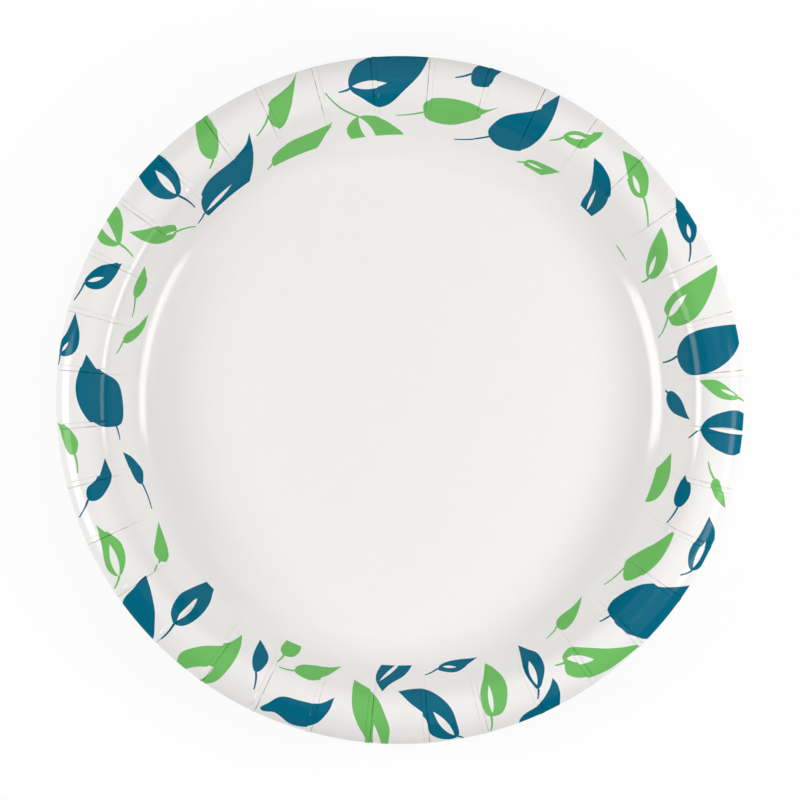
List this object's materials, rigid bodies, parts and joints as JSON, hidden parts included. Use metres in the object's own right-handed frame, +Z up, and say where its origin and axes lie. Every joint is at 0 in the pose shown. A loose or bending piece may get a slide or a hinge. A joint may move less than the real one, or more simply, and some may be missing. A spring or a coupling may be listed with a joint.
{
  "type": "stack of paper plates",
  "caption": "Nested stack of round coated paper plates with a flat floor, a pleated wall and arched rim, and a scattered print of teal and green leaves on each rim.",
  "frame": {"origin": "middle of the lowest plate's underside, which is what the stack stands on", "axes": "+Z up, square to the plates' floors; +Y towards the top of the print, +X to the print's right"},
  "size_m": [0.2562, 0.2562, 0.029],
  "materials": {
    "coated_board": "white paperboard, gloss coated and printed on the upper face, plain and matt below"
  },
  "bodies": {
    "root": {"plate_1": "coated_board", "plate_2": "coated_board", "plate_3": "coated_board", "plate_4": "coated_board", "plate_5": "coated_board", "plate_6": "coated_board"}
  },
  "joints": []
}
